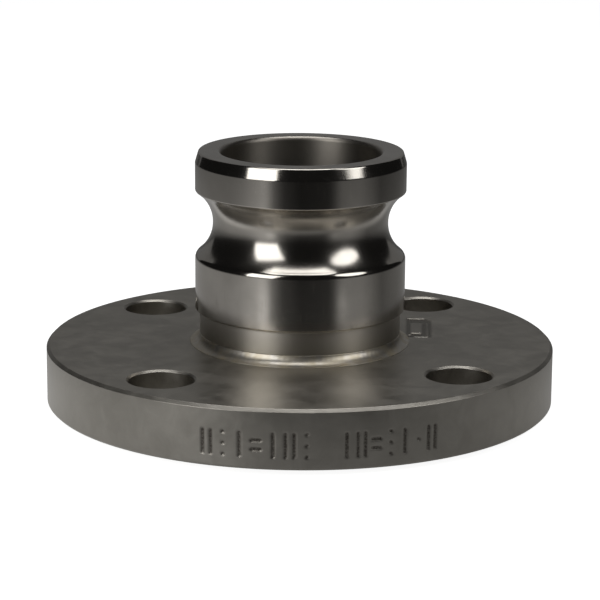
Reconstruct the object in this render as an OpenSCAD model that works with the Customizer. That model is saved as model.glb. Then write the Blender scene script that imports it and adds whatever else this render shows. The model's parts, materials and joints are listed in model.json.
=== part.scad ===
// Flanged male cam-and-groove adapter, nominal size 50 (2 inch), on a class 150 plate flange.
// A machined spigot slips into the bore of the flange and is welded to it outside and inside.
// The female coupler slides over the spigot from above, and its cams close into the groove.
// Millimetres. +Z is up along the flow axis, and Z = 0 is the raised sealing face of the flange.

/* [Flange] */
// Outside diameter of the flange
flange_d = 152.4; // [150:0.1:170]
// Thickness of the flange, without its raised face
flange_t = 17.45; // [15:0.05:22]
// Diameter of the raised sealing face
raised_d = 92.1; // [84:0.1:94]
// Height of the raised sealing face
raised_h = 1.6; // [1:0.1:3]
// Bore that the tail of the spigot slips into
socket_d = 61.9; // [61.1:0.1:63]
// Chamfer round the top edge of the rim
rim_chamfer_top = 0.9; // [0.3:0.1:1.5]
// Chamfer round the bottom edge of the rim
rim_chamfer_bottom = 0.7; // [0.3:0.1:1.5]

/* [Bolt holes] */
// Diameter of the circle that the bolt holes lie on
bolt_circle_d = 120.65; // [118:0.05:124]
// Diameter of each bolt hole
bolt_hole_d = 19.05; // [16:0.05:20]
// Number of bolt holes
bolt_count = 4; // [4, 8]
// Chamfer at both ends of each bolt hole
bolt_chamfer = 0.6; // [0.2:0.1:0.8]

/* [Cam spigot] */
// Diameter that the coupler slides over
spigot_d = 63; // [62:0.1:63.5]
// Length from the nose face to the shoulder under the spigot
spigot_len = 48; // [46:0.5:50]
// Length of neck between the shoulder and the top of the flange
neck_len = 10; // [6:0.5:30]
// Distance from the nose face to the middle of the cam groove
groove_drop = 21.5; // [19:0.1:23]
// Radius of the cam groove's round section
groove_r = 11.6; // [10:0.1:12]
// Diameter left at the bottom of the cam groove
groove_d = 52.4; // [51.5:0.1:55]
// Radius that rounds the groove's upper lip, under the head
head_lip_r = 0.6; // [0.3:0.1:2]
// Radius that rounds the groove's lower lip, on top of the body
body_lip_r = 2.2; // [0.3:0.1:2.5]

/* [Nose] */
// Length of the tapered lead-in at the nose
lead_len = 3.4; // [2:0.1:5]
// How far the lead-in narrows the nose, on the radius
lead_depth = 1; // [0.5:0.1:1.6]
// Radius that rounds the outer edge of the nose face
nose_edge_r = 0.6; // [0.2:0.1:0.8]
// Radius that rounds the mouth of the bore
mouth_r = 1.3; // [0.5:0.1:2]

/* [Tail and bore] */
// Diameter of the neck and tail, that of 2 inch pipe
tail_d = 60.3; // [60:0.1:60.6]
// Diameter of the flow bore
bore_d = 47.6; // [44:0.1:48.5]
// Distance from the raised face to the end of the tail
tail_setback = 6.5; // [6:0.1:9]
// Bevel round the end of the tail, which leads the weld in
tail_bevel = 0.8; // [0.3:0.1:1.5]

/* [Welds] */
// Leg of the fillet weld between the neck and the top of the flange
outer_leg = 3; // [2:0.1:5]
// Leg of the fillet weld between the tail's end and the flange bore
inner_leg = 4.5; // [3:0.1:5]
// Depth that the weld metal runs into the gap round the tail
root_depth = 1.6; // [1.5:0.1:2.5]
// Radius of a weld's hollow face, as a share of its leg
hollow_ratio = 1.25; // [1.1:0.05:2]

/* [Hidden] */
$fn = 144;

flange_r = flange_d / 2;
raised_r = raised_d / 2;
socket_r = socket_d / 2;
spigot_r = spigot_d / 2;
tail_r = tail_d / 2;
bore_r = bore_d / 2;

flange_top = raised_h + flange_t;
shoulder_z = flange_top + neck_len;
nose_z = shoulder_z + spigot_len;

// Points of a half section are [radius, height].
groove_c = [groove_d / 2 + groove_r, nose_z - groove_drop];
lead_start = [spigot_r, nose_z - lead_len];
nose_edge = [spigot_r - lead_depth, nose_z];
mouth = [bore_r, nose_z];
tail_end = [bore_r, tail_setback];

shoulder_w = spigot_r - tail_r;
shoulder_chamfer = 0.35 * shoulder_w;
shoulder_fillet_r = 0.4 * shoulder_w;
raised_fillet_r = 0.4;
raised_chamfer = 0.3;
socket_chamfer = 0.5;
past = 0.1; // how far a cutter runs past the surface it cuts

function unit(v) = v / norm(v);

// Sliver to take off a convex corner p, between its neighbours a and b, to round it to radius r.
// The round's centre lies on the corner's bisector, r / sin(half angle) from p.
module corner_sliver(p, a, b, r) {
    u = unit(a - p);
    v = unit(b - p);
    half_angle = acos(u * v) / 2;
    reach = r / tan(half_angle);
    centre = p + unit(u + v) * r / sin(half_angle);
    difference() {
        polygon([p - (u + v) * past, p + u * reach, centre, p + v * reach]);
        translate(centre) circle(r);
    }
}

// Fillet of radius r in a square corner at p that opens outwards and downwards.
module under_fillet(p, r) {
    translate(p) difference() {
        translate([-past, -r]) square([r + past, r + past]);
        translate([r, -r]) circle(r);
    }
}

// Sliver to take off one lip of the cam groove, above (side 1) or below (side -1) its middle, to
// round it to radius r. The round touches the spigot's side and the groove's round section, so its
// centre is r inside the one and groove_r + r from the middle of the other.
module groove_lip_sliver(side, r) {
    lip_x = spigot_r - r;
    rise = sqrt(pow(groove_r + r, 2) - pow(groove_c.x - lip_x, 2));
    lip_c = [lip_x, groove_c.y + side * rise];
    difference() {
        polygon([lip_c, [spigot_r, lip_c.y], groove_c]);
        translate(lip_c) circle(r);
    }
}

// Half section of the spigot: tail, neck, shoulder, body, cam groove, head, lead-in and bore.
module spigot_section() {
    difference() {
        union() {
            polygon([
                tail_end,
                [tail_r - tail_bevel, tail_setback],
                [tail_r, tail_setback + tail_bevel],
                [tail_r, shoulder_z],
                [spigot_r - shoulder_chamfer, shoulder_z],
                [spigot_r, shoulder_z + shoulder_chamfer],
                lead_start,
                nose_edge,
                mouth
            ]);
            under_fillet([tail_r, shoulder_z], shoulder_fillet_r);
        }
        translate(groove_c) circle(groove_r);
        groove_lip_sliver(1, head_lip_r);
        groove_lip_sliver(-1, body_lip_r);
        corner_sliver(nose_edge, lead_start, mouth, nose_edge_r);
        corner_sliver(mouth, nose_edge, tail_end, mouth_r);
    }
}

// Half section of the flange: raised face, rim, top face and bore.
module flange_section() {
    polygon([
        [socket_r + socket_chamfer, 0],
        [raised_r - raised_chamfer, 0],
        [raised_r, raised_chamfer],
        [raised_r, raised_h],
        [flange_r - rim_chamfer_bottom, raised_h],
        [flange_r, raised_h + rim_chamfer_bottom],
        [flange_r, flange_top - rim_chamfer_top],
        [flange_r - rim_chamfer_top, flange_top],
        [socket_r, flange_top],
        [socket_r, socket_chamfer]
    ]);
    under_fillet([raised_r, raised_h], raised_fillet_r);
}

// Half section of a fillet weld: a triangle with its square corner at p and a hollow face.
// Its legs run outwards and upwards from p where out and up are 1, and the other way at -1.
module weld_section(p, leg, out, up) {
    face_r = leg * hollow_ratio;
    half_chord = leg / sqrt(2);
    beyond = sqrt(pow(face_r, 2) - pow(half_chord, 2)) / sqrt(2);
    difference() {
        polygon([p, p + [out * leg, 0], p + [0, up * leg]]);
        translate(p + [out, up] * (leg / 2 + beyond)) circle(face_r);
    }
}

module cam_spigot() {
    color("silver") rotate_extrude() spigot_section();
}

// Cutter for one bolt hole, with a chamfer at each face of the flange.
module bolt_hole() {
    wide_d = bolt_hole_d + 2 * bolt_chamfer;
    translate([0, 0, raised_h - past]) cylinder(d = bolt_hole_d, h = flange_t + 2 * past);
    translate([0, 0, raised_h]) cylinder(d1 = wide_d, d2 = bolt_hole_d, h = bolt_chamfer);
    translate([0, 0, flange_top - bolt_chamfer])
        cylinder(d1 = bolt_hole_d, d2 = wide_d, h = bolt_chamfer);
}

// The holes straddle the flange's two centre lines, as on every pipe flange.
module flange() {
    color("gray") difference() {
        rotate_extrude() flange_section();
        for (i = [0 : bolt_count - 1])
            rotate((i + 0.5) * 360 / bolt_count) translate([bolt_circle_d / 2, 0, 0]) bolt_hole();
    }
}

// The root of the outer weld fills the top of the gap between the tail and the flange's bore.
module outer_fillet_weld() {
    color("darkgray") rotate_extrude() {
        weld_section([tail_r, flange_top], outer_leg, 1, 1);
        translate([tail_r, flange_top - root_depth]) square([socket_r - tail_r, root_depth]);
    }
}

// The root of the inner weld fills the bottom of that gap, round the tail's bevel.
module inner_fillet_weld() {
    color("darkgray") rotate_extrude() {
        weld_section([socket_r, tail_setback], inner_leg, -1, -1);
        polygon([
            [socket_r, tail_setback],
            [socket_r, tail_setback + root_depth],
            [tail_r, tail_setback + root_depth],
            [tail_r, tail_setback + tail_bevel],
            [tail_r - tail_bevel, tail_setback]
        ]);
    }
}

cam_spigot();
flange();
outer_fillet_weld();
inner_fillet_weld();
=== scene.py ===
"""Looks of a flanged male cam-and-groove adapter: turned stainless spigot, pickled flange, two welds.

Lengths of the object are in millimetres and become metres in build(). The floor, the lights and the
camera are placed in metres. A half section is a list of [radius, height] points, and angles are in
degrees about +Z.
"""
import json
import math
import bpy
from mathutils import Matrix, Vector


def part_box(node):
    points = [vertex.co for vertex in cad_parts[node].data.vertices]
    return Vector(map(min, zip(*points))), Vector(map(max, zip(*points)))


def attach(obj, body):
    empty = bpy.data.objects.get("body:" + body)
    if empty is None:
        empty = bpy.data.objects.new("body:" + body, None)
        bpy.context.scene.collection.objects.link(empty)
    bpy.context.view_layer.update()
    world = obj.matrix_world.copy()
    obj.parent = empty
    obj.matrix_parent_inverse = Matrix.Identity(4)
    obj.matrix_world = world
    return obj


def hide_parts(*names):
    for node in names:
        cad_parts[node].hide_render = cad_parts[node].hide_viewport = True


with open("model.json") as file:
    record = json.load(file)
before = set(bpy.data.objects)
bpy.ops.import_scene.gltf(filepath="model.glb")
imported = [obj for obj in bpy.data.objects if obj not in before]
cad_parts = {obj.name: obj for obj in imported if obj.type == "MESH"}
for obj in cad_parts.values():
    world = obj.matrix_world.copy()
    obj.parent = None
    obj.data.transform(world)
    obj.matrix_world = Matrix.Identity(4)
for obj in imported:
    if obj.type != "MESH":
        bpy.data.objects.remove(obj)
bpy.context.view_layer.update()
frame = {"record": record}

from types import SimpleNamespace

import bmesh
import bpy
import numpy as np
from mathutils import Matrix, Vector

MM = 0.001
mounts = {m["name"]: m for m in frame["record"]["mounts"]}


# ---------------------------------------------------------------- sizes

flange_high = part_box("flange")[1] / MM
spigot_low, spigot_high = (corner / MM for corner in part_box("cam_spigot"))
outer_weld_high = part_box("outer_fillet_weld")[1] / MM
inner_weld_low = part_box("inner_fillet_weld")[0] / MM

RIM_R = flange_high.x
FLANGE_TOP = flange_high.z
RAISED_H = 1.6
RAISED_R = 46.05
SOCKET_R = 30.95
RIM_TOP_CHAMFER = 0.9
RIM_BOTTOM_CHAMFER = 0.7
SOCKET_CHAMFER = 0.5
HOLE_R = mounts["bolt_pattern"]["dims"]["hole_r_mm"]
HOLE_CIRCLE_R = mounts["bolt_pattern"]["dims"]["pcd_mm"] / 2
HOLE_AT = (45, 135, 225, 315)
HOLE_CHAMFER = 0.6

SPIGOT_R = mounts["coupler_spigot"]["dims"]["r_mm"]
SPIGOT_LEN = 48.0
BORE_R = mounts["flow_bore"]["dims"]["r_mm"]
TAIL_R = 30.15
TAIL_Z = spigot_low.z
TAIL_BEVEL = 0.8
NOSE_Z = spigot_high.z
SHOULDER_Z = NOSE_Z - SPIGOT_LEN
GROOVE_Z = mounts["cam_groove"]["pos_m"][2] / MM
GROOVE_R = 11.6
GROOVE_FOOT_R = 26.2
HEAD_LIP_R = 0.6
BODY_LIP_R = 2.2
LEAD_LEN = 3.4
LEAD_DEPTH = 1.0
NOSE_EDGE_R = 0.6
MOUTH_R = 1.3

WELD_HOLLOW = 1.25  # radius of a weld's hollow face, as a share of its leg


# ---------------------------------------------------------------- outlines

def on_circle(radius, turns, centre=(0, 0)):
    """Points centre + radius * (cos a, sin a). Either radius or the angles a may be many."""
    a = np.radians(turns)
    return np.column_stack([centre[0] + radius * np.cos(a), centre[1] + radius * np.sin(a)])


def arc(centre, radius, start, end, steps):
    """Points on a circle, at angles that go evenly from start to end."""
    return on_circle(radius, np.linspace(start, end, steps + 1), centre)


def eased(corners, radii, steps=5):
    """Open outline through corners, each inner one rounded to its radius.

    A round of radius r starts r / tan(h) from its corner, where h is half the corner's angle, and
    its centre lies r / sin(h) from the corner along the bisector.
    """
    corners = np.array(corners, float)
    outline = [corners[:1]]
    for before, corner, after, r in zip(corners, corners[1:], corners[2:], radii):
        u = (before - corner) / np.linalg.norm(before - corner)
        v = (after - corner) / np.linalg.norm(after - corner)
        half = math.acos(float(np.clip(u @ v, -1, 1))) / 2
        centre = corner + (u + v) / np.linalg.norm(u + v) * r / math.sin(half)
        first = corner + u * r / math.tan(half) - centre
        last = corner + v * r / math.tan(half) - centre
        start = math.degrees(math.atan2(first[1], first[0]))
        turn = math.degrees(math.atan2(last[1], last[0])) - start
        turn = (turn + 180) % 360 - 180
        outline.append(arc(centre, r, start, start + turn, steps))
    outline.append(corners[-1:])
    return np.vstack(outline)


def supported(outline, hold=0.12):
    """The outline with a point hold after the start and before the end of each long straight.

    These points keep the smooth shading of a round from running out over the flat beside it.
    """
    step = np.diff(outline, axis=0)
    length = np.hypot(step[:, 0], step[:, 1])
    made = [outline[:1]]
    for start, run, size in zip(outline, step, length):
        if size > 5 * hold:
            made.append([start + run * hold / size, start + run * (1 - hold / size)])
        made.append([start + run])
    return np.vstack(made)


def spans(*stretches):
    """Rising values from (start, end, step) stretches, evenly spaced within each stretch."""
    values = []
    for start, end, step in stretches:
        count = max(1, math.ceil((end - start) / step - 1e-6))
        values.append(np.linspace(start, end, count + 1)[:-1])
    return np.concatenate(values + [[end]])


# ---------------------------------------------------------------- surfaces

def revolved(outline, turns):
    """Grid of points [r cos t, r sin t, z]: one row per outline point, one column per turn t."""
    t = np.radians(turns)[None, :]
    r, z = outline[:, :1], outline[:, 1:]
    return np.dstack([r * np.cos(t), r * np.sin(t), z + 0 * t])


def quads(rows, cols, close_rows, close_cols):
    """Vertex numbers of a grid's faces, joined to its first row or column where it closes."""
    i = np.arange(rows if close_rows else rows - 1)[:, None]
    j = np.arange(cols if close_cols else cols - 1)[None, :]
    a, b = i * cols, (i + 1) % rows * cols
    right = (j + 1) % cols
    return np.stack([a + j, a + right, b + right, b + j], axis=-1).reshape(-1, 4)


def build(name, grids, material, replaced):
    """One closed piece from grids of points, each given as (points, close_rows, close_cols).

    A point is x, y, z, and may carry a fourth number, how much painted shade sits there (0 to 1).
    Grids that share an edge are sewn where their points meet, and the faces are turned outwards.
    """
    points, scale, faces, count = [], [], [], 0
    for grid, close_rows, close_cols in grids:
        rows, cols, depth = grid.shape
        points.append(grid[..., :3].reshape(-1, 3) * MM)
        scale.append(grid[..., 3].ravel() if depth > 3 else np.zeros(rows * cols))
        faces.append(quads(rows, cols, close_rows, close_cols) + count)
        count += rows * cols
    mesh = bpy.data.meshes.new(name)
    mesh.from_pydata(np.vstack(points), [], np.vstack(faces).tolist())
    mesh.attributes.new("scale", "FLOAT", "POINT").data.foreach_set("value", np.concatenate(scale))
    sewn = bmesh.new()
    sewn.from_mesh(mesh)
    bmesh.ops.remove_doubles(sewn, verts=sewn.verts, dist=0.002 * MM)
    bmesh.ops.recalc_face_normals(sewn, faces=sewn.faces)
    sewn.to_mesh(mesh)
    sewn.free()
    mesh.polygons.foreach_set("use_smooth", np.ones(len(mesh.polygons), bool))
    mesh.materials.append(material)
    piece = bpy.data.objects.new(name, mesh)
    bpy.context.scene.collection.objects.link(piece)
    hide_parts(replaced)
    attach(piece, "root")


# ---------------------------------------------------------------- materials

def colour(hex_code):
    """Linear RGBA of an sRGB hex colour."""
    parts = [int(hex_code[i:i + 2], 16) / 255 for i in (1, 3, 5)]
    return [c / 12.92 if c <= 0.04045 else ((c + 0.055) / 1.055) ** 2.4 for c in parts] + [1.0]


def add(tree, kind, inputs=None, **settings):
    """Adds a node. An input takes a value, a socket, or a node, which stands for its first output.

    Inputs go by name, or by number where names repeat: a mix of colours takes them at 6 and 7, and
    gives its result at output 2.
    """
    made = tree.nodes.new(kind)
    for key, value in settings.items():
        setattr(made, key, value)
    for key, value in (inputs or {}).items():
        if isinstance(value, bpy.types.Node):
            value = value.outputs[0]
        if isinstance(value, bpy.types.NodeSocket):
            tree.links.new(value, made.inputs[key])
        else:
            made.inputs[key].default_value = value
    return made


def new_material(name):
    """An empty node material, and its tree."""
    material = bpy.data.materials.new(name)
    material.use_nodes = True
    material.node_tree.nodes.clear()
    return material, material.node_tree


def lathe_place(tree):
    """Where a point lies on a turned part, in millimetres.

    place is X, Y, Z, flat is X and Y alone, and height is Z. radius is the distance from the axis.
    section is radius and height as a vector, on which a pattern runs round the part in rings.
    """
    place = add(tree, "ShaderNodeVectorMath", {
        0: add(tree, "ShaderNodeTexCoord").outputs["Object"], "Scale": 1 / MM,
    }, operation="SCALE")
    height = add(tree, "ShaderNodeSeparateXYZ", {"Vector": place}).outputs["Z"]
    flat = add(tree, "ShaderNodeVectorMath", {0: place, 1: (1, 1, 0)}, operation="MULTIPLY")
    radius = add(tree, "ShaderNodeVectorMath", {0: flat}, operation="LENGTH").outputs["Value"]
    section = add(tree, "ShaderNodeCombineXYZ", {"X": radius, "Z": height})
    return SimpleNamespace(place=place, flat=flat, height=height, radius=radius, section=section)


def turned_stainless():
    """316 stainless bar, turned and polished: near mirror, with faint rings left by the tool.

    The rings are too fine to show one by one, so anisotropy stretches highlights along the axis,
    and a coarser set, 0.5 mm apart, shows as streaks. Lobing, the tool's slight chatter round the
    part, makes the highlights' sides waver. Couplers sliding on leave short scuffs along the axis.
    The neck keeps the dull straw colour of the weld's heat, and the bore is only rough turned.
    """
    material, tree = new_material("turned_stainless")
    on = lathe_place(tree)
    rings = add(tree, "ShaderNodeTexNoise", {"Vector": on.section, "Scale": 1 / 0.5, "Detail": 3.0})
    lobing = add(tree, "ShaderNodeTexNoise", {"Vector": on.flat, "Scale": 1 / 3.0, "Detail": 1.0})
    cloud = add(tree, "ShaderNodeTexNoise", {"Vector": on.place, "Scale": 1 / 9.0, "Detail": 4.0})
    relief = add(tree, "ShaderNodeBump", {"Height": lobing, "Distance": 0.012 * MM})
    relief = add(tree, "ShaderNodeBump", {"Height": rings, "Distance": 0.0022 * MM, "Normal": relief})

    drawn_out = add(tree, "ShaderNodeVectorMath", {0: on.place, 1: (1, 1, 0.06)}, operation="MULTIPLY")
    scuff = add(tree, "ShaderNodeTexNoise", {"Vector": drawn_out, "Scale": 1 / 0.45, "Detail": 2.0})
    scuffed = add(tree, "ShaderNodeMapRange", {
        "Value": scuff, "From Min": 0.62, "From Max": 0.72, "To Min": 0.0, "To Max": 0.09,
    })
    slid_on = add(tree, "ShaderNodeMapRange", {
        "Value": on.radius, "From Min": SPIGOT_R - 0.6, "From Max": SPIGOT_R - 0.2,
    })
    scuffed = add(tree, "ShaderNodeMath", {0: scuffed, 1: slid_on}, operation="MULTIPLY")

    neck = add(tree, "ShaderNodeMapRange", {
        "Value": on.height, "From Min": SHOULDER_Z + 0.2, "From Max": SHOULDER_Z - 0.4,
    })
    bore = add(tree, "ShaderNodeMapRange", {
        "Value": on.radius, "From Min": BORE_R + 0.9, "From Max": BORE_R + 0.2,
    })
    groove = add(tree, "ShaderNodeMapRange", {
        "Value": on.radius, "From Min": SPIGOT_R - 0.6, "From Max": SPIGOT_R - 2.0,
    })
    rough = add(tree, "ShaderNodeMapRange", {
        "Value": cloud, "From Min": 0.3, "From Max": 0.7, "To Min": 0.10, "To Max": 0.16,
    })
    for mask, extra in ((neck, 0.3), (bore, 0.25), (groove, 0.06)):
        rough = add(tree, "ShaderNodeMath", {0: mask, 1: extra, 2: rough}, operation="MULTIPLY_ADD")
    rough = add(tree, "ShaderNodeMath", {0: rough, 1: scuffed}, operation="ADD")

    patchy = add(tree, "ShaderNodeMix", {
        "Factor": add(tree, "ShaderNodeMapRange", {"Value": cloud, "From Min": 0.35, "From Max": 0.65}),
        6: colour("#c9c4bc"),
        7: colour("#c1bcb4"),
    }, data_type="RGBA").outputs[2]
    near_weld = add(tree, "ShaderNodeMapRange", {
        "Value": on.height, "From Min": SHOULDER_Z, "From Max": FLANGE_TOP + 2, "To Max": 0.85,
    })
    tinted = patchy
    for mask, tint in ((near_weld, "#989285"), (bore, "#938e86")):
        tinted = add(tree, "ShaderNodeMix", {
            "Factor": mask, 6: tinted, 7: colour(tint),
        }, data_type="RGBA").outputs[2]

    shader = add(tree, "ShaderNodeBsdfPrincipled", {
        "Base Color": tinted,
        "Metallic": 1.0,
        "Roughness": rough,
        "Anisotropic": 0.7,
        "Anisotropic Rotation": 0.25,
        "Tangent": add(tree, "ShaderNodeTangent", direction_type="RADIAL", axis="Z"),
        "Normal": relief,
    })
    add(tree, "ShaderNodeOutputMaterial", {"Surface": shader})
    return material


def pickled_steel():
    """Stainless plate, faced in a lathe, then pickled in acid: an even satin grey.

    The acid leaves a fine etched grain and faint blotches where it dried. The facing tool's rings
    still show. The drill left the bolt holes a little smoother. Painted shade darkens the stamped
    marks and the sunk pad.
    """
    material, tree = new_material("pickled_steel")
    on = lathe_place(tree)
    rings = add(tree, "ShaderNodeTexNoise", {"Vector": on.section, "Scale": 1 / 0.6, "Detail": 2.0})
    grain = add(tree, "ShaderNodeTexNoise", {
        "Vector": on.place, "Scale": 1 / 0.55, "Detail": 3.0, "Roughness": 0.6,
    })
    blotch = add(tree, "ShaderNodeTexNoise", {
        "Vector": on.place, "Scale": 1 / 8.0, "Detail": 4.0, "Roughness": 0.6, "Distortion": 0.6,
    })
    relief = add(tree, "ShaderNodeBump", {"Height": rings, "Distance": 0.005 * MM})
    relief = add(tree, "ShaderNodeBump", {"Height": grain, "Distance": 0.02 * MM, "Normal": relief})

    # The four holes lie on the diagonals, so folding X and Y to positive values makes them one.
    folded = add(tree, "ShaderNodeVectorMath", {0: on.flat}, operation="ABSOLUTE")
    hole_xy = HOLE_CIRCLE_R * math.sqrt(0.5)
    from_hole = add(tree, "ShaderNodeVectorMath", {
        0: folded, 1: (hole_xy, hole_xy, 0),
    }, operation="DISTANCE").outputs["Value"]
    drilled = add(tree, "ShaderNodeMapRange", {
        "Value": from_hole, "From Min": HOLE_R + 0.3, "From Max": HOLE_R + 0.1,
    })
    satin = add(tree, "ShaderNodeMapRange", {
        "Value": blotch, "From Min": 0.3, "From Max": 0.7, "To Min": 0.36, "To Max": 0.44,
    })
    rough = add(tree, "ShaderNodeMath", {0: drilled, 1: -0.08, 2: satin}, operation="MULTIPLY_ADD")

    grey = add(tree, "ShaderNodeMix", {
        "Factor": add(tree, "ShaderNodeMapRange", {"Value": blotch, "From Min": 0.35, "From Max": 0.65}),
        6: colour("#a29e96"),
        7: colour("#aeaaa2"),
    }, data_type="RGBA").outputs[2]
    # Painted shade: the points' fourth number mixes the stamped marks and the sunk pad towards dark grey.
    scale = add(tree, "ShaderNodeAttribute", attribute_name="scale").outputs["Fac"]
    patches = add(tree, "ShaderNodeMapRange", {
        "Value": grain, "From Min": 0.3, "From Max": 0.6, "To Min": 0.45, "To Max": 1.0,
    })
    grey = add(tree, "ShaderNodeMix", {
        "Factor": add(tree, "ShaderNodeMath", {0: scale, 1: patches}, operation="MULTIPLY"),
        6: grey,
        7: colour("#55504a"),
    }, data_type="RGBA").outputs[2]

    shader = add(tree, "ShaderNodeBsdfPrincipled", {
        "Base Color": grey, "Metallic": 1.0, "Roughness": rough, "Normal": relief,
    })
    add(tree, "ShaderNodeOutputMaterial", {"Surface": shader})
    return material


def brushed_weld():
    """Weld metal, wire brushed after welding: bright, with a fine grain and a trace of straw tint."""
    material, tree = new_material("brushed_weld")
    place = lathe_place(tree).place
    bristle = add(tree, "ShaderNodeVectorMath", {0: place, 1: (1, 1, 0.3)}, operation="MULTIPLY")
    grain = add(tree, "ShaderNodeTexNoise", {"Vector": bristle, "Scale": 1 / 0.35, "Detail": 3.0})
    cloud = add(tree, "ShaderNodeTexNoise", {"Vector": place, "Scale": 1 / 3.5, "Detail": 3.0})
    tint = add(tree, "ShaderNodeMix", {
        "Factor": add(tree, "ShaderNodeMapRange", {"Value": cloud, "From Min": 0.35, "From Max": 0.7}),
        6: colour("#cac5bc"),
        7: colour("#bfb59f"),
    }, data_type="RGBA").outputs[2]
    rough = add(tree, "ShaderNodeMapRange", {
        "Value": cloud, "From Min": 0.3, "From Max": 0.7, "To Min": 0.31, "To Max": 0.41,
    })
    relief = add(tree, "ShaderNodeBump", {"Height": grain, "Distance": 0.012 * MM})
    shader = add(tree, "ShaderNodeBsdfPrincipled", {
        "Base Color": tint, "Metallic": 1.0, "Roughness": rough, "Normal": relief,
    })
    add(tree, "ShaderNodeOutputMaterial", {"Surface": shader})
    return material


# ---------------------------------------------------------------- spigot

def lip_place(groove_x, lip_r):
    """Where a round between the spigot's side and its groove sits, from the groove's middle height.

    Its centre is lip_r inside the side and GROOVE_R + lip_r from the groove's centre. Returns that
    centre, and the angle at which it meets the groove.
    """
    x = SPIGOT_R - lip_r
    rise = math.sqrt((GROOVE_R + lip_r) ** 2 - (groove_x - x) ** 2)
    return (x, rise), math.degrees(math.atan2(rise, groove_x - x))


def spigot_outline():
    """Closed half section of the spigot, from the middle of the bore down and round to it again."""
    shoulder = SPIGOT_R - TAIL_R
    chamfer = 0.35 * shoulder
    middle = [BORE_R, (TAIL_Z + NOSE_Z) / 2]
    groove_x = GROOVE_FOOT_R + GROOVE_R
    body_lip, low = lip_place(groove_x, BODY_LIP_R)
    head_lip, high = lip_place(groove_x, HEAD_LIP_R)
    below = eased([
        middle,
        [BORE_R, TAIL_Z],
        [TAIL_R - TAIL_BEVEL, TAIL_Z],
        [TAIL_R, TAIL_Z + TAIL_BEVEL],
        [TAIL_R, SHOULDER_Z],
        [SPIGOT_R - chamfer, SHOULDER_Z],
        [SPIGOT_R, SHOULDER_Z + chamfer],
        [SPIGOT_R, GROOVE_Z - body_lip[1]],
    ], [0.3, 0.2, 0.2, 0.4 * shoulder, 0.1, 0.15])
    groove = np.vstack([
        arc([body_lip[0], GROOVE_Z - body_lip[1]], BODY_LIP_R, 0, low, 16),
        arc([groove_x, GROOVE_Z], GROOVE_R, 180 + low, 180 - high, 56),
        arc([head_lip[0], GROOVE_Z + head_lip[1]], HEAD_LIP_R, -high, 0, 8),
    ])
    above = eased([
        [SPIGOT_R, GROOVE_Z + head_lip[1]],
        [SPIGOT_R, NOSE_Z - LEAD_LEN],
        [SPIGOT_R - LEAD_DEPTH, NOSE_Z],
        [BORE_R, NOSE_Z],
        middle,
    ], [1.5, NOSE_EDGE_R, MOUTH_R], 8)
    return supported(np.vstack([below, groove, above]))


# ---------------------------------------------------------------- flange

# Each bolt hole is cut in a block of its own, BLOCK degrees to either side and between two radii.
BLOCK = 16
BLOCK_R = (48.0, 75.0)
HOLE_EDGE_R = HOLE_R + 0.85


def flange_turns():
    """Angles of the flange's columns: breaks at the blocks' sides, and close at the pad and marks."""
    return spans(
        (0, 29, 0.4), (29, 41, 0.4), (41, 61, 1.6), (61, 119, 1.8), (119, 151, 1.6),
        (151, 209, 1.8), (209, 241, 1.6), (241, 299, 0.28), (299, 331, 1.6), (331, 360, 1.8),
    )[:-1]


def between(turns, start, end):
    """The turns from start to end, both included, going through 360 where end is past it."""
    around = np.concatenate([turns, turns + 360])
    return around[(around >= start - 1e-6) & (around <= end + 1e-6)]


def hole_block(turns, at, z, sides):
    """Flat face round one bolt hole, from a ring at the hole's edge out to the block's four sides.

    Each column is a straight line from the ring to the block's edge, at the same angle about the
    hole's axis. Returns the grid, those angles, and the hole's centre.
    """
    along = between(turns, at - BLOCK, at + BLOCK)
    inner, outer = (on_circle(r, along) for r in BLOCK_R)
    before, after = (on_circle(sides, side)[1:-1] for side in (at - BLOCK, at + BLOCK))
    edge = np.vstack([inner, after, outer[::-1], before[::-1]])
    centre = on_circle(HOLE_CIRCLE_R, [at])[0]
    angles = np.degrees(np.arctan2(edge[:, 1] - centre[1], edge[:, 0] - centre[0]))
    ring = on_circle(HOLE_EDGE_R, angles, centre)
    share = np.linspace(0, 1, 4)[:, None, None]
    flat = ring * (1 - share) + edge * share
    return np.dstack([flat, np.full(flat.shape[:2], z)]), angles, centre


def smooth(x):
    """0 below 0, 1 above 1, and x * x * (3 - 2 x) between."""
    x = np.clip(x, 0, 1)
    return x * x * (3 - 2 * x)


def strokes_at(across, up, strokes, half_width, soft):
    """1 inside any stroke, 0 clear of them all. A stroke is a straight line [x0, y0, x1, y1].

    How deep a place lies in a stroke goes by its distance from the nearest place on the line.
    """
    inside = np.zeros(np.broadcast(across, up).shape)
    for x0, y0, x1, y1 in strokes:
        dx, dy = x1 - x0, y1 - y0
        along = np.clip(((across - x0) * dx + (up - y0) * dy) / (dx * dx + dy * dy + 1e-9), 0, 1)
        gap = np.hypot(across - x0 - along * dx, up - y0 - along * dy)
        inside = np.maximum(inside, smooth((half_width + soft / 2 - gap) / soft))
    return inside


def tally(order, pitch, height):
    """Strokes of a row of plain batch marks: upright bars, level bars and dots."""
    right, middle = 0.5 * pitch, height / 2
    motifs = {
        "pair": [(0, 0, 0, height), (right, 0, right, height)],
        "bar": [(right / 2, 0, right / 2, height)],
        "dots": [(right / 2, y, right / 2, y) for y in (0, middle, height)],
        "levels": [(0, y, right, y) for y in (0.3 * height, 0.7 * height)],
        "dot": [(right / 2, middle, right / 2, middle)],
    }
    return [
        (x0 + i * pitch, y0, x1 + i * pitch, y1)
        for i, name in enumerate(order) for x0, y0, x1, y1 in motifs[name]
    ]


MARK_LOW = 5.6
MARK_HEIGHT = 6.4
MARK_DEPTH = 0.26
MARK_HALF_WIDTH = 0.5
MARK_SOFT = 0.5
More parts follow.
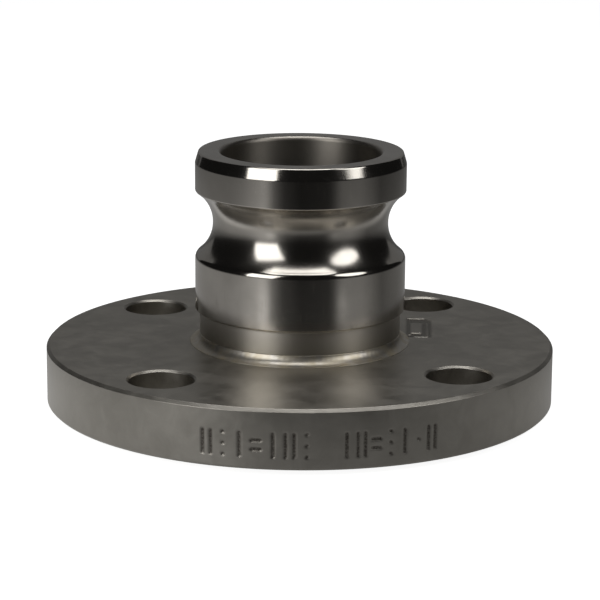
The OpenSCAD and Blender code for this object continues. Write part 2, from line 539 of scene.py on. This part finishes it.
# Each row of marks: the turn that it starts at, its pitch, and its marks in order.
MARK_ROWS = (
    (245.2, 4.7, ("pair", "dots", "bar", "levels", "bar", "pair", "dots")),
    (274.8, 4.2, ("bar", "pair", "levels", "dots", "bar", "dot", "pair")),
)


def press_marks_into_rim(grid, turns):
    """The rim with its side moved inwards, and painted shade added, under two rows of stamped marks."""
    arc_length = np.radians(turns)[None, :] * RIM_R
    up = grid[..., 2] - MARK_LOW
    pressed = np.zeros(grid.shape[:2])
    for start, pitch, order in MARK_ROWS:
        across = arc_length - math.radians(start) * RIM_R
        row = strokes_at(across, up, tally(order, pitch, MARK_HEIGHT), MARK_HALF_WIDTH, MARK_SOFT)
        pressed = np.maximum(pressed, row)
    pressed *= np.hypot(grid[..., 0], grid[..., 1]) > RIM_R - 0.01
    grid[..., :2] *= (1 - pressed * MARK_DEPTH / RIM_R)[..., None]
    # The fourth number is painted shade in the strokes.
    return np.dstack([grid, pressed])


PAD_CORNER = (32.2, 1.2)
PAD_LEAN = 7.0
PAD_SIZE = (8.2, 24.0)
PAD_DEPTH = 0.4
PAD_SOFT = 0.6
PAD_FARTHEST_R = 47.8
PAD_SCALE = 0.8  # how much painted shade lies in it
# What stands in the pad, as boxes [x0, y0, x1, y1] from its corner.
PAD_BLOCKS = ((2.2, 0.5, 7.6, 1.9), (0.5, 3.2, 2.2, 4.6), (1.2, 5.4, 5.4, 18.5), (6.1, 3.0, 7.2, 19.0))
PAD_BLOCK_RISE = 0.9  # how high they stand, as a share of the pad's depth


def within(across, along, box, soft):
    """1 inside an upright box [x0, y0, x1, y1] and 0 outside, easing over its last soft millimetres."""
    x0, y0, x1, y1 = box
    sides = smooth(np.minimum(across - x0, x1 - across) / soft)
    return sides * smooth(np.minimum(along - y0, y1 - along) / soft)


def press_pad_into_top(grid):
    """The top face with a rectangular pad sunk in it, where a plain block and a few bars stand."""
    lean = math.radians(PAD_LEAN)
    x, y = grid[..., 0] - PAD_CORNER[0], grid[..., 1] - PAD_CORNER[1]
    across = x * math.cos(lean) - y * math.sin(lean)
    along = x * math.sin(lean) + y * math.cos(lean)
    sunk = within(across, along, (0, 0, *PAD_SIZE), PAD_SOFT)
    sunk *= smooth((PAD_FARTHEST_R - np.hypot(grid[..., 0], grid[..., 1])) / PAD_SOFT)
    standing = 0 * sunk
    for box in PAD_BLOCKS:
        standing = np.maximum(standing, within(across, along, box, PAD_SOFT))
    sunk *= 1 - PAD_BLOCK_RISE * standing
    grid[..., 2] -= PAD_DEPTH * sunk
    # The fourth number is painted shade in the sunk pad.
    return np.dstack([grid, PAD_SCALE * sunk])


SERRATION_PITCH = 1.0
SERRATION_DEPTH = 0.06


def serrated_face():
    """Outline of the raised face, from its outside inwards: grooves that a facing tool leaves.

    They are a cosine wave SERRATION_DEPTH high, with a wave every SERRATION_PITCH.
    """
    r = np.arange(RAISED_R - 0.6, SOCKET_R + 1.0, -SERRATION_PITCH / 3)
    wave = 0.5 - 0.5 * np.cos(2 * math.pi * (r - r[0]) / SERRATION_PITCH)
    return np.column_stack([r, SERRATION_DEPTH * wave])


def rim_outline():
    """Outline of the rim from the top face round to the bolting face, with close rows for the marks."""
    far = BLOCK_R[1]
    marks_from, marks_to = MARK_LOW - 1.2, MARK_LOW + MARK_HEIGHT + 1.2
    side = spans(
        (RAISED_H + 1.4, marks_from, 1.2), (marks_from, marks_to, 0.3), (marks_to, FLANGE_TOP - 1.6, 1.2),
    )
    over = eased([
        [far, FLANGE_TOP],
        [RIM_R - RIM_TOP_CHAMFER, FLANGE_TOP],
        [RIM_R, FLANGE_TOP - RIM_TOP_CHAMFER],
        [RIM_R, side[-1]],
    ], [0.2, 0.2], 4)
    below = eased([
        [RIM_R, side[0]],
        [RIM_R, RAISED_H + RIM_BOTTOM_CHAMFER],
        [RIM_R - RIM_BOTTOM_CHAMFER, RAISED_H],
        [far, RAISED_H],
    ], [0.2, 0.2], 4)
    wall = np.column_stack([np.full(len(side) - 2, RIM_R), side[-2:0:-1]])
    return np.vstack([supported(over, 0.1), wall, supported(below, 0.1)])


def under_outline():
    """Outline from the bolting face over the raised face and up the flange's bore."""
    face = serrated_face()
    step = eased([
        [BLOCK_R[0], RAISED_H],
        [RAISED_R, RAISED_H],
        [RAISED_R, 0],
        face[0],
    ], [0.4, 0.25], 4)
    bore = eased([
        face[-1],
        [SOCKET_R + SOCKET_CHAMFER, 0],
        [SOCKET_R, SOCKET_CHAMFER],
        [SOCKET_R, FLANGE_TOP],
    ], [0.15, 0.15], 3)
    return np.vstack([supported(step[:-1], 0.1), face, supported(bore[1:], 0.1)])


def hole_outline():
    """Outline of a bolt hole's wall about the hole's own axis, with a chamfer at each end."""
    wall = eased([
        [HOLE_EDGE_R, FLANGE_TOP],
        [HOLE_R + HOLE_CHAMFER, FLANGE_TOP],
        [HOLE_R, FLANGE_TOP - HOLE_CHAMFER],
        [HOLE_R, RAISED_H + HOLE_CHAMFER],
        [HOLE_R + HOLE_CHAMFER, RAISED_H],
        [HOLE_EDGE_R, RAISED_H],
    ], [0.15, 0.15, 0.15, 0.15], 3)
    return supported(wall, 0.08)


def flange_grids():
    """The flange's surface as grids that meet edge to edge."""
    turns = flange_turns()
    sides = np.linspace(*BLOCK_R, 10)
    top_r = spans((SOCKET_R, BLOCK_R[0], 0.42))
    top = revolved(np.column_stack([top_r, 0 * top_r + FLANGE_TOP]), turns)
    grids = [
        (press_pad_into_top(top), False, True),
        (press_marks_into_rim(revolved(rim_outline(), turns), turns), False, True),
        (revolved(under_outline(), turns), False, True),
    ]
    for at in HOLE_AT:
        to_next = between(turns, at + BLOCK, at + 90 - BLOCK)
        for z in (FLANGE_TOP, RAISED_H):
            block, angles, centre = hole_block(turns, at, z, sides)
            grids.append((block, False, True))
            grids.append((revolved(np.column_stack([sides, 0 * sides + z]), to_next), False, False))
        hole = revolved(hole_outline(), angles)
        hole[..., :2] += centre
        grids.append((hole, False, True))
    return grids


# ---------------------------------------------------------------- welds

def weld_outline(corner, leg, out, up, steps=16):
    """Closed half section of a fillet weld: its corner, then its hollow face.

    The face is an arc of radius WELD_HOLLOW * leg that ends leg from the corner along both its
    sides. Its centre is on the corner's bisector, so it spreads evenly to both sides of 225 degrees.
    """
    face_r = WELD_HOLLOW * leg
    half_chord = leg / math.sqrt(2)
    from_sides = leg / 2 + math.sqrt((face_r ** 2 - half_chord ** 2) / 2)
    spread = math.degrees(math.asin(half_chord / face_r))
    face = arc([from_sides, from_sides], face_r, 225 + spread, 225 - spread, steps)
    return np.array(corner) + np.array([out, up]) * np.vstack([[[0, 0]], face])


def weld_grid(corner, leg, out, up, pitch, depth):
    """A weld's ring, whose hollow face has a crescent every pitch millimetres, depth deep.

    A crescent is a wave round the ring that lags towards both edges of the face, and a slow swell
    goes five times round with it. They shrink the section towards its corner by 1 - depth / leg *
    (0 to 1), so they only take metal away.
    """
    outline = weld_outline(corner, leg, out, up)
    crescents = round(2 * math.pi * corner[0] / pitch)
    columns = 8 * crescents
    turns = np.arange(columns) * 360 / columns
    grid = revolved(outline, turns)
    across = np.linspace(-1, 1, len(outline) - 1)[:, None]
    lag = 2.4 * across ** 2
    wave = 0.5 - 0.5 * np.cos(np.radians(turns)[None, :] * crescents - lag)
    swell = 0.5 + 0.5 * np.sin(np.radians(turns)[None, :] * 5 + 1.3)
    shrink = np.vstack([np.ones((1, columns)), 1 - depth / leg * (0.75 * wave + 0.25 * swell)])
    radius = np.hypot(grid[..., 0], grid[..., 1])
    grid[..., :2] *= ((corner[0] + (radius - corner[0]) * shrink) / radius)[..., None]
    grid[..., 2] = corner[1] + (grid[..., 2] - corner[1]) * shrink
    return grid


# ---------------------------------------------------------------- pieces

steel, plate, weld = turned_stainless(), pickled_steel(), brushed_weld()
outer_leg = outer_weld_high.x - TAIL_R
inner_leg = TAIL_Z - inner_weld_low.z
spigot = revolved(spigot_outline(), np.arange(0, 360, 1.0))
outer_weld = weld_grid([TAIL_R, FLANGE_TOP], outer_leg, 1, 1, pitch=1.6, depth=0.04)
inner_weld = weld_grid([SOCKET_R, TAIL_Z], inner_leg, -1, -1, pitch=2.2, depth=0.3)
build("spigot", [(spigot, True, True)], steel, "cam_spigot")
build("flange_plate", flange_grids(), plate, "flange")
build("weld_outside", [(outer_weld, True, True)], weld, "outer_fillet_weld")
build("weld_inside", [(inner_weld, True, True)], weld, "inner_fillet_weld")


# ---------------------------------------------------------------- light

AIM = Vector([0, 0, 0.0313])
CAMERA_TURN = -94.37
CAMERA_TILT = 13.72
CAMERA_DISTANCE = 0.7413
CAMERA_ROLL = 0.409
CAMERA_LENS = 147.66
SENSOR_WIDTH = 36.0

SHEEN_RADII = (0.048, 1.5)
SHEEN_HEIGHT = 0.0005
FLOOR_HALF = 4


def heading(turn, tilt):
    """Unit vector from the object, turned about +Z from the camera's side and tilted up from level."""
    a, e = math.radians(turn + CAMERA_TURN), math.radians(tilt)
    return Vector([math.cos(a) * math.cos(e), math.sin(a) * math.cos(e), math.sin(e)])


def softbox(name, shape, turn, tilt, distance, width, height, glow):
    """Area light of one even brightness, which faces the object from a heading, unseen itself."""
    light = bpy.data.lights.new(name, "AREA")
    light.shape = shape
    light.size, light.size_y = width, height
    light.energy = glow * math.pi * width * height
    lamp = bpy.data.objects.new(name, light)
    lamp.location = AIM + heading(turn, tilt) * distance
    lamp.rotation_euler = heading(turn, tilt).to_track_quat("Z", "Y").to_euler()
    lamp.visible_camera = False
    bpy.context.scene.collection.objects.link(lamp)


# Turn, tilt, metres away, width and height in metres, and glow.
softbox("key_left", "RECTANGLE", -43.5, 25, 1.0, 0.57, 0.79, 2.4)
softbox("key_right", "ELLIPSE", 64, 36.5, 1.0, 0.54, 0.71, 1.7)
softbox("top_light", "RECTANGLE", 0, 93, 1.0, 0.74, 0.69, 2.6)
softbox("back_panel", "RECTANGLE", 180, 21, 1.3, 2.2, 1.0, 0.13)


def through(x, *places):
    """Height at x of the straight lines that join places [x, height]."""
    return np.interp(x, *zip(*places))


def patch(turn, middle, width):
    """A bell curve: exp(-x * x), where x is how many widths a turn is from the middle."""
    return np.exp(-((turn - middle) / width) ** 2)


def table_glow(radius, turn):
    """How bright the table looks from the object, radius metres out and turn degrees from the camera.

    Far out, the left is brightest and the front is dark, and it dims outwards. Close in, both sides
    are brighter than the front. Below each of the two key lights there is a brighter patch.
    """
    far = through(
        turn, (-180, 0.27), (-77, 0.28), (-64, 0.33), (-39, 0.52), (-28, 0.17), (-17, 0.05), (0, 0.02),
        (28, 0.03), (39, 0.08), (51, 0.22), (64, 0.23), (77, 0.175), (92, 0.09), (131, 0.15), (180, 0.27),
    )
    far = far * through(radius, (0.22, 1.0), (0.42, 0.45), (1.5, 0.15))
    near = through(
        turn, (-180, 0.3), (-90, 0.66), (-40, 0.42), (0, 0.22), (40, 0.2), (90, 0.42), (180, 0.3),
    )
    nearness = through(radius, (0.115, 1), (0.145, 0))
    patches = 0.38 * patch(turn, -35, 6) + 0.27 * patch(turn, 42, 6)
    patches = patches * through(radius, (0.14, 0), (0.155, 1), (0.18, 1), (0.21, 0.15))
    return far * (1 - nearness) + near * nearness + patches


def build_table_sheen():
    """A ring just above the floor that only reflections show: rows at radii, columns at turns."""
    radii = np.geomspace(*SHEEN_RADII, 60)
    turns = np.arange(-180, 180, 4.0)
    grid = revolved(np.column_stack([radii, 0 * radii + SHEEN_HEIGHT]), turns + CAMERA_TURN)
    mesh = bpy.data.meshes.new("table_sheen")
    mesh.from_pydata(grid.reshape(-1, 3), [], quads(len(radii), len(turns), False, True).tolist())
    glow = mesh.attributes.new("glow", "FLOAT", "POINT")
    glow.data.foreach_set("value", table_glow(radii[:, None], turns[None, :]).ravel())
    paint, tree = new_material("table_sheen")
    glow_here = add(tree, "ShaderNodeAttribute", attribute_name="glow").outputs["Fac"]
    light = add(tree, "ShaderNodeEmission", {"Strength": glow_here})
    add(tree, "ShaderNodeOutputMaterial", {"Surface": light})
    mesh.materials.append(paint)
    sheen = bpy.data.objects.new("table_sheen", mesh)
    sheen.visible_camera = False
    sheen.visible_diffuse = False
    sheen.visible_shadow = False
    bpy.context.scene.collection.objects.link(sheen)


def build_floor():
    """A white floor that glows a little, so that it stays pale. Reflections show the sheen instead."""
    mesh = bpy.data.meshes.new("floor")
    corners = [(x * FLOOR_HALF, y * FLOOR_HALF, 0) for x, y in ((-1, -1), (1, -1), (1, 1), (-1, 1))]
    mesh.from_pydata(corners, [], [(0, 1, 2, 3)])
    paint, tree = new_material("white_sweep")
    shader = add(tree, "ShaderNodeBsdfPrincipled", {
        "Base Color": colour("#b4b4b4"),
        "Roughness": 0.9,
        "Emission Color": (1, 1, 1, 1),
        "Emission Strength": 0.9,
    })
    add(tree, "ShaderNodeOutputMaterial", {"Surface": shader})
    mesh.materials.append(paint)
    floor = bpy.data.objects.new("floor", mesh)
    floor.visible_glossy = False
    bpy.context.scene.collection.objects.link(floor)


def build_studio():
    """White walls to look at, which light the object only a little."""
    world = bpy.data.worlds.new("studio")
    bpy.context.scene.world = world
    world.use_nodes = True
    tree = world.node_tree
    tree.nodes.clear()
    white = add(tree, "ShaderNodeBackground", {"Color": (1, 1, 1, 1), "Strength": 1.0})
    dim = add(tree, "ShaderNodeBackground", {"Color": (1, 1, 1, 1), "Strength": 0.008})
    seen = add(tree, "ShaderNodeLightPath").outputs["Is Camera Ray"]
    either = add(tree, "ShaderNodeMixShader", {0: seen, 1: dim, 2: white})
    add(tree, "ShaderNodeOutputWorld", {"Surface": either})


build_table_sheen()
build_floor()
build_studio()


# ---------------------------------------------------------------- camera

camera = bpy.data.cameras.new("camera")
camera.sensor_width = SENSOR_WIDTH
camera.lens = CAMERA_LENS
camera.clip_end = 20
view = bpy.data.objects.new("camera", camera)
away = heading(0, CAMERA_TILT)
facing = away.to_track_quat("Z", "Y").to_matrix().to_4x4()
rolled = facing @ Matrix.Rotation(math.radians(CAMERA_ROLL), 4, "Z")
view.matrix_world = Matrix.Translation(AIM + away * CAMERA_DISTANCE) @ rolled
bpy.context.scene.collection.objects.link(view)
bpy.context.scene.camera = view
bpy.context.scene.view_settings.view_transform = "Standard"
